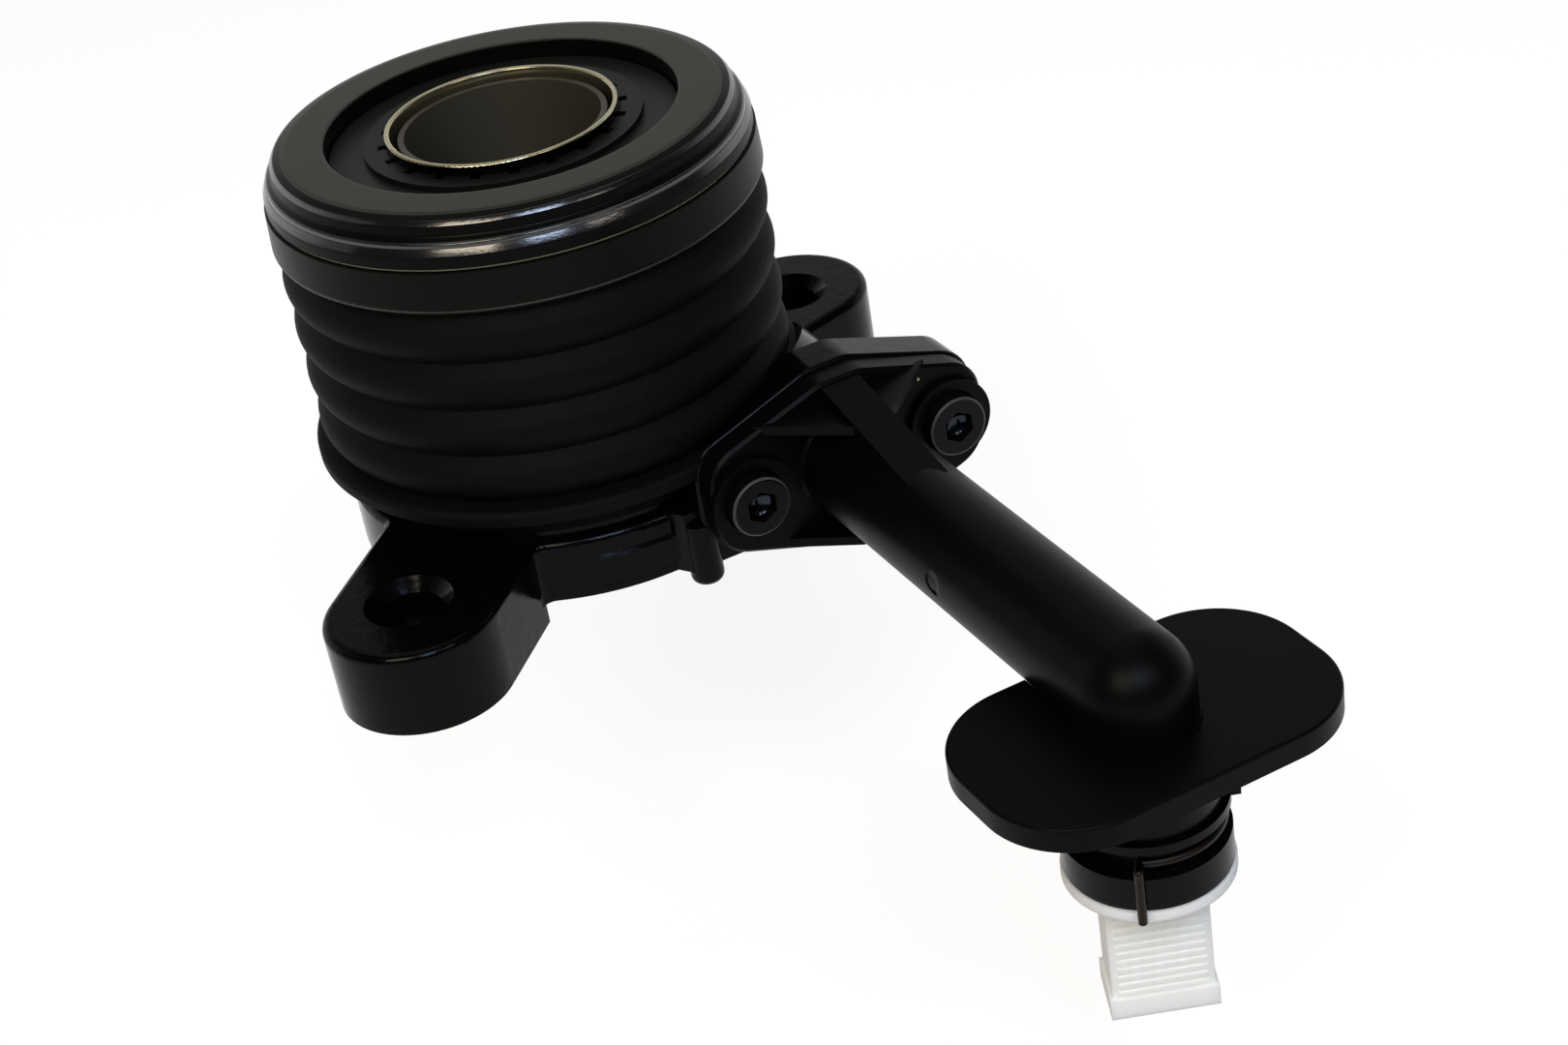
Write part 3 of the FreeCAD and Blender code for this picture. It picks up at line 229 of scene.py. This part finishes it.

# %% [markdown]
# The contact ring is steel with black oxide and a film of oil. The oxide is thin and follows the
# metal: a greyish satin where the face was ground, whose grey is a painted sheen of the light from
# above, a deep oily gloss on the turned brow and shoulder, a dull black on the skirt, and a hairline
# of bare steel along the skirt's lower edge, where it rubs, whose bright colour is also a painted
# highlight of the glint along that edge. One material that changes with the height could do this.
# Four finishes, one after the other along the section, end as sharply as the passes of the tool
# did. The gloss has the peel of an oil film, a few tenths of a millimetre across and a hundredth
# deep. The turning drew it out round the ring, so it is stretched that way.

# %% Black oxide on the ring
PEEL, PEEL_DEPTH = 0.4, 0.012
# The ground face's grey is a painted sheen of the light from above it.
satin_oxide_sheen, _, _ = new_finish("ground face in black oxide", "#1f1f15", 0.42,
                               Specular_IOR_Level=0.16)
oily_oxide, oily_tree, oily_shader = new_finish("turned shoulder in oiled black oxide", "#040404",
                                                0.15, Specular_IOR_Level=1.0)
grain(oily_tree, oily_shader, PEEL, PEEL_DEPTH, stretch=(0.6, 0.6, 2.0))
dull_oxide, _, _ = new_finish("skirt in dull black oxide", "#060605", 0.32, Specular_IOR_Level=0.05)
# Bright rough bare steel. On the ring's worn edge its brightness is also a painted highlight of the
# glint there.
bare_steel_and_glint, _, _ = new_finish("bare steel edge", "#c6bea4", 0.6, metallic=0.8)

# %% [markdown]
# The ring's highlights depend on its section: a tight brow, a hollow, a narrow crest, a fine turned
# line and a sloping shoulder. The CAD ring has the brow and the shoulder as plain fillets. Bevels and
# subdivision could soften it, but they round every edge alike. A lathe, a section turned round the
# axis, gives each edge a radius of its own, and each then catches light in its own way.

# %% Lathe
EDGE_SHARE = 0.49


def rounded(corners, steps=5):
    """Radius and height points along a closed section, each corner rounded by its own radius, in mm.
    A corner is (r, z, rounding, zone). The zone belongs to the way to the next corner. A corner with
    no rounding is a point that keeps a flat face flat under smooth shading. A rounding takes less
    than half of either edge, EDGE_SHARE, so that two neighbours never meet."""
    path = []
    count = len(corners)
    for i, (r, z, rounding, zone) in enumerate(corners):
        here = Vector((r, z))
        if not rounding:
            path.append((r, z, zone))
            continue
        to_last = Vector(corners[i - 1][:2]) - here
        to_next = Vector(corners[(i + 1) % count][:2]) - here
        half = to_last.angle(to_next) / 2
        reach = min(rounding / math.tan(half), to_last.length * EDGE_SHARE,
                    to_next.length * EDGE_SHARE)
        start, end = here + to_last.normalized() * reach, here + to_next.normalized() * reach
        for k in range(steps + 1):
            f = k / steps
            spot = start * (1 - f) ** 2 + here * 2 * f * (1 - f) + end * f ** 2
            path.append((spot.x, spot.y, corners[i - 1][3] if f < 0.5 else zone))
    return path


def lathe(name, path, finishes, segments=224):
    """Turn a section in mm about the upright axis. Its zones pick their finish."""
    count = len(path)
    turns = [2 * math.pi * s / segments for s in range(segments)]
    spots = [(r * MM * math.cos(a), r * MM * math.sin(a), z * MM) for a in turns for r, z, _ in path]
    faces = [(s * count + i, ((s + 1) % segments) * count + i,
              ((s + 1) % segments) * count + (i + 1) % count, s * count + (i + 1) % count)
             for s in range(segments) for i in range(count)]
    mesh = bpy.data.meshes.new(name)
    mesh.from_pydata(spots, [], faces)
    for finish in finishes:
        mesh.materials.append(finish)
    for number, polygon in enumerate(mesh.polygons):
        polygon.material_index = path[number % count][2]
        polygon.use_smooth = True
    thing = bpy.data.objects.new(name, mesh)
    bpy.context.collection.objects.link(thing)
    show(name, "%d faces" % len(faces))
    return thing


# %% [markdown]
# The section runs round the ring from the bore's edge outwards: face, brow, hollow and crest, turned
# line, shoulder, skirt and worn edge. Then it comes back inside, round the track of the balls, whose
# arc is worked out from the track's radius. Radius and height are in millimetres.

# %% Contact ring
SATIN_SHEEN, OILY, DULL, BARE_AND_GLINT = range(4)
RING_BORE, FACE_HEIGHT, SKIRT_RADIUS, SKIRT_END, UNDERSIDE = 23.6, 60.0, 32.7, 53.65, 56.2
TRACK_RADIUS, TRACK_HEIGHT, TRACK_SECTION, TRACK_STEPS, TRACK_ROUNDING = 25.6, 54.6, 2.45, 6, 0.02
# The face carries a painted sheen, and the worn edge a painted highlight on its bare steel.
ring_section = [
    (RING_BORE, FACE_HEIGHT, 0.5, SATIN_SHEEN), (24.3, FACE_HEIGHT, 0, SATIN_SHEEN),   # face
    (28.1, FACE_HEIGHT, 0, SATIN_SHEEN), (28.8, FACE_HEIGHT, 1.5, SATIN_SHEEN),
    (29.5, 59.9, 1.0, DULL), (30.5, 59.6, 0.9, OILY),                      # brow
    (31.0, 59.0, 0.5, DULL), (31.15, 57.7, 0.7, DULL),                     # hollow
    (31.75, 57.2, 0.3, OILY), (32.02, 57.05, 0.2, OILY),                   # crest
    (32.1, 56.6, 0.04, OILY), (32.07, 56.54, 0.04, OILY),                  # turned line
    (32.18, 56.5, 0.06, OILY), (SKIRT_RADIUS, 55.5, 0.9, DULL),            # shoulder
    (SKIRT_RADIUS, 53.95, 0.1, BARE_AND_GLINT), (32.45, SKIRT_END, 0.12, DULL)]      # worn edge
for level_number in range(TRACK_STEPS + 1):
    level = SKIRT_END + (UNDERSIDE - SKIRT_END) * level_number / TRACK_STEPS
    arc = math.sqrt(TRACK_SECTION ** 2 - (level - TRACK_HEIGHT) ** 2)
    ring_section.append((TRACK_RADIUS + arc, level, TRACK_ROUNDING, DULL))
ring_section.append((RING_BORE, UNDERSIDE, 0.1, DULL))
contact_ring = lathe("contact_ring_turned", rounded(ring_section)[::-1],
                     (satin_oxide_sheen, oily_oxide, dull_oxide, bare_steel_and_glint))
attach(contact_ring, "contact")
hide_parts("contact_ring")

# %% [markdown]
# The band under the ring is the wall of a pressed steel cup, in the same oxide. The press draws long
# upright marks down it, so the peel is stretched upright and gives a quiet sheen. Along its lower
# edge the band is painted grey for half a millimetre, a painted highlight of the light that edge
# mirrors. That could be a thin ring of its own, but the height on the part can choose between the
# two colours without one.

# %% Band
BAND_BLACK, BAND_EDGE_HIGHLIGHT = "#0a0a08", "#4a4a45"
BAND_LOW, HIGHLIGHT_HEIGHT = 47.8, 0.6
band_oxide, band_tree, band_shader = new_finish("black oxide on pressed steel", BAND_BLACK, 0.34,
                                                Specular_IOR_Level=0.06)
band_place, _ = grain(band_tree, band_shader, PEEL, PEEL_DEPTH, stretch=(1, 1, 0.1))
band_height = add(band_tree, "ShaderNodeSeparateXYZ", {"Vector": band_place})
# The lowest part of the band takes a painted highlight colour.
painted_edge_highlight = add(band_tree, "ShaderNodeMath",
             {0: band_height.outputs["Z"], 1: (BAND_LOW + HIGHLIGHT_HEIGHT) * MM}, operation="LESS_THAN")
band_colour = add(band_tree, "ShaderNodeMix", {"Factor": painted_edge_highlight.outputs["Value"],
                                               "A": linear(BAND_BLACK), "B": linear(BAND_EDGE_HIGHLIGHT)},
                  data_type="RGBA")
band_tree.links.new(band_colour.outputs["Result"], band_shader.inputs["Base Color"])
dress(band_oxide, "spring_cup")

# %% [markdown]
# The cap screws are black too. The rounded rim of the head is painted grey, a painted highlight of
# the glint it catches. The rim could be picked face by face. It is the only place with slanting
# faces, so the face's direction along the screw finds it without picking. The hexagon ends in the
# bare cone that its drill left, and that cone, a small mesh of its own, gives the bright spark in
# each socket.

# %% Screws
SCREW_BLACK, SCREW_RIM_HIGHLIGHT = "#060606", "#3c3c3a"
RIM_SLANT, RIM_RANGE = 0.65, 0.28
SCREW_Y, SCREW_SPAN, SCREW_Z = 25.0, 30.0, 13.8
SOCKET_FLOOR, CONE_RADIUS, CONE_RISE, CONE_SIDES = 38.42, 1.75, 1.4, 48
screw_oxide, screw_tree, screw_shader = new_finish("black oxide on cap screws", SCREW_BLACK, 0.3,
                                                   Specular_IOR_Level=0.09)
screw_face = add(screw_tree, "ShaderNodeNewGeometry").outputs["Normal"]
facing = add(screw_tree, "ShaderNodeSeparateXYZ", {"Vector": screw_face})
slanted = add(screw_tree, "ShaderNodeMath", {0: facing.outputs["X"], 1: RIM_SLANT, 2: RIM_RANGE},
              operation="COMPARE")
# The slanting rim of the head takes a painted highlight colour.
screw_colour = add(screw_tree, "ShaderNodeMix", {"Factor": slanted.outputs["Value"],
                                                 "A": linear(SCREW_BLACK), "B": linear(SCREW_RIM_HIGHLIGHT)},
                   data_type="RGBA")
screw_tree.links.new(screw_colour.outputs["Result"], screw_shader.inputs["Base Color"])
dress(screw_oxide, "flange_screws", "flange_bushings")
drilled, _, _ = new_finish("drilled bare steel", "#2a2e35", 0.12, metallic=1.0)
for number, sideways in enumerate((-SCREW_SPAN / 2, SCREW_SPAN / 2)):
    middle = Vector((SOCKET_FLOOR + CONE_RISE / 2, SCREW_Y + sideways, SCREW_Z)) * MM
    bpy.ops.mesh.primitive_cone_add(vertices=CONE_SIDES, radius1=CONE_RADIUS * MM, radius2=0,
                                    depth=CONE_RISE * MM, end_fill_type="NOTHING",
                                    rotation=(0, -math.pi / 2, 0), location=middle)
    cone = bpy.context.object
    cone.name = "socket_cone_%d" % (number + 1)
    cone.data.materials.append(drilled)
    bpy.ops.object.shade_smooth()
    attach(cone, "cylinder")
    show(cone.name, "%.1f mm deep" % CONE_RISE)

# %% [markdown]
# A fleck of swarf sits on the pipe's flange, above the right screw. A bright dot in the nylon's
# colour could stand for it, but it would not glint. It is a ball of few flat faces, one or two of
# which catch the light.

# %% Fleck
FLECK = Vector((38.1, 36.24, 21.44)) * MM
FLECK_RADIUS = 0.28
bpy.ops.mesh.primitive_ico_sphere_add(subdivisions=2, radius=FLECK_RADIUS * MM, location=FLECK)
fleck = bpy.context.object
fleck.name = "fleck_of_swarf"
fleck.data.materials.append(bare_steel_and_glint)
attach(fleck, "cylinder")
show(fleck.name, "%.2f mm in radius" % FLECK_RADIUS)

# %% [markdown]
# The bare metals are inside. The carrier ring is turned and passivated yellow: it is bright on its
# rim and inside, and its outer flank, above the washer, is painted dark, a painted shade of the gap
# it faces. A painted texture could tell them apart. A turned ring doesn't need one: its flank is all
# the faces that look straight away from the axis.

# %% Carrier ring
PASSIVATED, FLANK_SHADE = "#ada585", "#171712"
CARRIER_RADIUS, OUTWARD = 15.65, 0.96
turned, turned_tree, turned_shader = new_finish("turned steel, yellow passivated", PASSIVATED, 0.2,
                                                metallic=0.95)
turned_place = add(turned_tree, "ShaderNodeTexCoord").outputs["Object"]
turned_face = add(turned_tree, "ShaderNodeNewGeometry").outputs["True Normal"]
per_radius = 1 / (CARRIER_RADIUS * MM)
from_axis = add(turned_tree, "ShaderNodeVectorMath",
                {0: turned_place, 1: (per_radius, per_radius, 0)}, operation="MULTIPLY")
outward = add(turned_tree, "ShaderNodeVectorMath", {0: from_axis.outputs["Vector"], 1: turned_face},
              operation="DOT_PRODUCT")
# The faces that look straight away from the axis take a painted shade colour.
flank = add(turned_tree, "ShaderNodeMath", {0: outward.outputs["Value"], 1: OUTWARD},
            operation="GREATER_THAN")
turned_colour = add(turned_tree, "ShaderNodeMix", {"Factor": flank.outputs["Value"],
                                                   "A": linear(PASSIVATED), "B": linear(FLANK_SHADE)},
                    data_type="RGBA")
turned_tree.links.new(turned_colour.outputs["Result"], turned_shader.inputs["Base Color"])
dress(turned, "bearing_carrier")

# %% [markdown]
# The other metals are plain. The drawn sleeve has a brown film of oil, which makes its bore a soft
# dark shine. The races and balls are ground to a clean, hard gloss. The washer is phosphated, so it
# is dead black. The wire is drawn and has an even, dark lustre, and the piston is turned aluminium.
# They could have marks from their tools, but these are finer than a pixel, so colour and roughness
# say it all.

# %% Other metals
drawn, _, _ = new_finish("oiled drawn steel tube", "#47443a", 0.5, metallic=0.6,
                         Specular_IOR_Level=0.3)
dress(drawn, "guide_sleeve")
ground, _, _ = new_finish("ground bearing steel", "#4a4945", 0.25, metallic=1.0)
dress(ground, "bearing_inner_ring", "balls")
washer_steel, _, _ = new_finish("phosphated spring steel", "#0c0c0a", 0.45, Specular_IOR_Level=0.1)
dress(washer_steel, "retaining_washer")
wire, _, _ = new_finish("drawn spring wire", "#26221f", 0.4, metallic=1.0)
dress(wire, "wire_clip")
aluminium, _, _ = new_finish("turned aluminium", "#a8a8aa", 0.35, metallic=1.0)
dress(aluminium, "piston")

# %% [markdown]
# The plug is low-density polyethylene. It is waxy: light enters, scatters and comes out again, so
# the shadows inside its ribs glow. A plain white would look like chalk. Subsurface scattering with a
# mean path of a few millimetres, a little shorter for blue than for red, makes it wax.

# %% Plug
polyethylene, _, _ = new_finish("low-density polyethylene", "#f4f5f1", 0.6, Subsurface_Weight=0.8,
                                Subsurface_Scale=2.5 * MM, Subsurface_Radius=(1.0, 0.95, 0.85),
                                Specular_IOR_Level=0.25)
dress(polyethylene, "transport_plug")

# %% [markdown]
# A large white floor lies far enough below for the plug to be pulled out. Brighter lamps could make
# it white, but they would wash out the object too. So it adds light of its own up to plain white, but
# only to the camera and to what shiny and clear pieces mirror or pass. Rays that light the object
# don't see that glow, so black stays black, and the floor keeps the object's shadow.

# %% Floor
FLOOR_GAP, PLUG_TRAVEL = 0.5, 30.0
FLOOR_SIZE = 6.0
FLOOR_GLOW = 0.76


def background_rays(tree):
    """1 for the rays that must meet the white background, 0 for those that light the object: first
    the camera's rays alone, then with those that mirror or pass."""
    rays = add(tree, "ShaderNodeLightPath").outputs
    mirror = add(tree, "ShaderNodeMath", {0: rays["Is Glossy Ray"], 1: rays["Is Transmission Ray"]},
                 operation="MAXIMUM")
    every = add(tree, "ShaderNodeMath", {0: rays["Is Camera Ray"], 1: mirror.outputs["Value"]},
                operation="MAXIMUM")
    return rays["Is Camera Ray"], every.outputs["Value"]


floor_level = CAD_BOX[0].z - (PLUG_TRAVEL + FLOOR_GAP) * MM
bpy.ops.mesh.primitive_plane_add(size=FLOOR_SIZE, location=(0, 0, floor_level))
floor = bpy.context.object
floor.name = "studio_floor"
floor_white, floor_tree, floor_shader = new_finish("white paper floor", "#9a9a9a", 1.0,
                                                   Specular_IOR_Level=0.0)
_, floor_ray = background_rays(floor_tree)
own = add(floor_tree, "ShaderNodeMath", {0: floor_ray, 1: FLOOR_GLOW}, operation="MULTIPLY")
glow = add(floor_tree, "ShaderNodeEmission", {"Color": (1, 1, 1, 1),
                                              "Strength": own.outputs["Value"]})
both = add(floor_tree, "ShaderNodeAddShader", {0: floor_shader.outputs["BSDF"],
                                               1: glow.outputs["Emission"]})
floor_tree.links.new(both.outputs["Shader"], floor_tree.nodes["Material Output"].inputs["Surface"])
floor.data.materials.append(floor_white)
show("floor at", "%.1f mm" % (floor_level / MM))

# %% [markdown]
# The world is white to the camera too. In what the object mirrors, only the far side is white, as
# the paper sweep behind the object was in the picture, and it fades with height. The photographer's
# own side is a dim room, which keeps black black. What lights the object is an even, weaker white.
# A panorama of a studio could hold all this, but two ramps, one across and one upwards, are easier
# to steer.

# %% World
CAMERA_AZIMUTH, CAMERA_ELEVATION = 66.85, 32.02
ROOM_LIGHT, ROOM_MIRRORED = 0.35, 0.06
SWEEP_FULL, SWEEP_GONE = -0.45, 0.0
SWEEP_FADES, SWEEP_TOP, SWEEP_DIM = 0.25, 0.6, 0.25


def toward(azimuth, elevation):
    """The direction from the object to a compass angle and a height above it, in degrees."""
    a, e = math.radians(azimuth), math.radians(elevation)
    return Vector((math.sin(a) * math.cos(e), -math.cos(a) * math.cos(e), math.sin(e)))


world = bpy.data.worlds.new("studio")
bpy.context.scene.world = world
world.use_nodes = True
world_tree = world.node_tree
seen = add(world_tree, "ShaderNodeTexCoord").outputs["Generated"]
side = add(world_tree, "ShaderNodeVectorMath", {0: seen, 1: toward(CAMERA_AZIMUTH, 0)},
           operation="DOT_PRODUCT")
away = add(world_tree, "ShaderNodeMapRange", {"Value": side.outputs["Value"],
                                              "From Min": SWEEP_FULL, "From Max": SWEEP_GONE,
                                              "To Min": 1.0, "To Max": 0.0})
climb = add(world_tree, "ShaderNodeSeparateXYZ", {"Vector": seen})
low_part = add(world_tree, "ShaderNodeMapRange", {"Value": climb.outputs["Z"],
                                                  "From Min": SWEEP_FADES, "From Max": SWEEP_TOP,
                                                  "To Min": 1.0, "To Max": SWEEP_DIM})
paper = add(world_tree, "ShaderNodeMath",
            {0: away.outputs["Result"], 1: low_part.outputs["Result"]}, operation="MULTIPLY")
sweep = add(world_tree, "ShaderNodeMath", {0: paper.outputs["Value"], 1: ROOM_MIRRORED},
            operation="MAXIMUM")
camera_ray, white_ray = background_rays(world_tree)
mirrored = add(world_tree, "ShaderNodeMath", {0: sweep.outputs["Value"], 1: camera_ray},
               operation="MAXIMUM")
strength = add(world_tree, "ShaderNodeMix", {"Factor": white_ray, "A": ROOM_LIGHT,
                                             "B": mirrored.outputs["Value"]})
sky = world_tree.nodes["Background"]
sky.inputs["Color"].default_value = (1, 1, 1, 1)
world_tree.links.new(strength.outputs["Result"], sky.inputs["Strength"])
show("room light", ROOM_LIGHT)

# %% [markdown]
# Black things are drawn by what they reflect. The two streaks on the bearing's shoulder show where
# the picture's lamps stood: a warm lamp left of the camera and a cool window right of it. A weaker
# lamp stands further right, a broad and faint one fills the left, and a softbox overhead fills the
# faces. Point lamps could light it as well, but they leave dots. Rectangles, as windows and softboxes
# are, leave streaks.

# %% Lights
TARGET = Vector((0.045, 0.005, 0.02))


def softbox(name, azimuth, elevation, distance, size, power, colour="#ffffff"):
    """A rectangular light that faces the object, its distance and size in metres."""
    back = toward(azimuth, elevation)
    data = bpy.data.lights.new(name, "AREA")
    data.shape = "RECTANGLE"
    data.size, data.size_y = size
    data.energy = power
    data.color = linear(colour)[:3]
    light = bpy.data.objects.new(name, data)
    light.location = TARGET + back * distance
    light.rotation_euler = (-back).to_track_quat("-Z", "Y").to_euler()
    bpy.context.collection.objects.link(light)
    show(name, "%.1f W at %.2f m" % (power, distance))


softbox("overhead softbox", 250, 72, 0.9, (0.8, 0.8), 1.0)
softbox("warm lamp left of the camera", 40, 42, 1.0, (0.42, 0.42), 5.0, "#fff0da")
softbox("window right of the camera", 80, 45, 1.0, (0.28, 0.4), 4.2, "#cfe2ff")
softbox("far lamp on the right", 110, 40, 1.0, (0.24, 0.3), 0.9, "#fff4ea")
softbox("faint fill on the left", 330, 25, 0.9, (0.5, 0.5), 0.2)

# %% [markdown]
# The camera stands where the photographer's did. It could be set by eye. Its angles, distance and
# focal length were found by matching circles and edges of the model to the picture instead, because
# an eye confuses distance with focal length. The picture is turned a little, which the roll repeats,
# and the object sits off the middle, which a sideways step of the camera repeats.

# %% Camera
CAMERA_ROLL = 9.66
CAMERA_DISTANCE = 387.47 * MM
CLOSEST, FARTHEST = 10 * MM, 20.0
FOCAL_PIXELS, PICTURE_WIDTH, SENSOR = 2797.84, 1620, 36.0
ORIGIN_RIGHT, ORIGIN_UP = -207.49, 27.45

azimuth, roll = math.radians(CAMERA_AZIMUTH), math.radians(CAMERA_ROLL)
back = toward(CAMERA_AZIMUTH, CAMERA_ELEVATION)
level_right = Vector((math.cos(azimuth), math.sin(azimuth), 0))
level_up = back.cross(level_right)
right = math.cos(roll) * level_right - math.sin(roll) * level_up
up = math.sin(roll) * level_right + math.cos(roll) * level_up
pixel = CAMERA_DISTANCE / FOCAL_PIXELS
camera_data = bpy.data.cameras.new("camera")
camera_data.sensor_width = SENSOR
camera_data.lens = FOCAL_PIXELS / PICTURE_WIDTH * SENSOR
camera_data.clip_start, camera_data.clip_end = CLOSEST, FARTHEST
camera = bpy.data.objects.new("camera", camera_data)
camera.matrix_world = Matrix((right, up, back)).transposed().to_4x4()
camera.location = back * CAMERA_DISTANCE - right * ORIGIN_RIGHT * pixel - up * ORIGIN_UP * pixel
bpy.context.collection.objects.link(camera)
bpy.context.scene.camera = camera
bpy.context.scene.view_settings.view_transform = "Standard"
show("lens", "%.1f mm" % camera_data.lens)
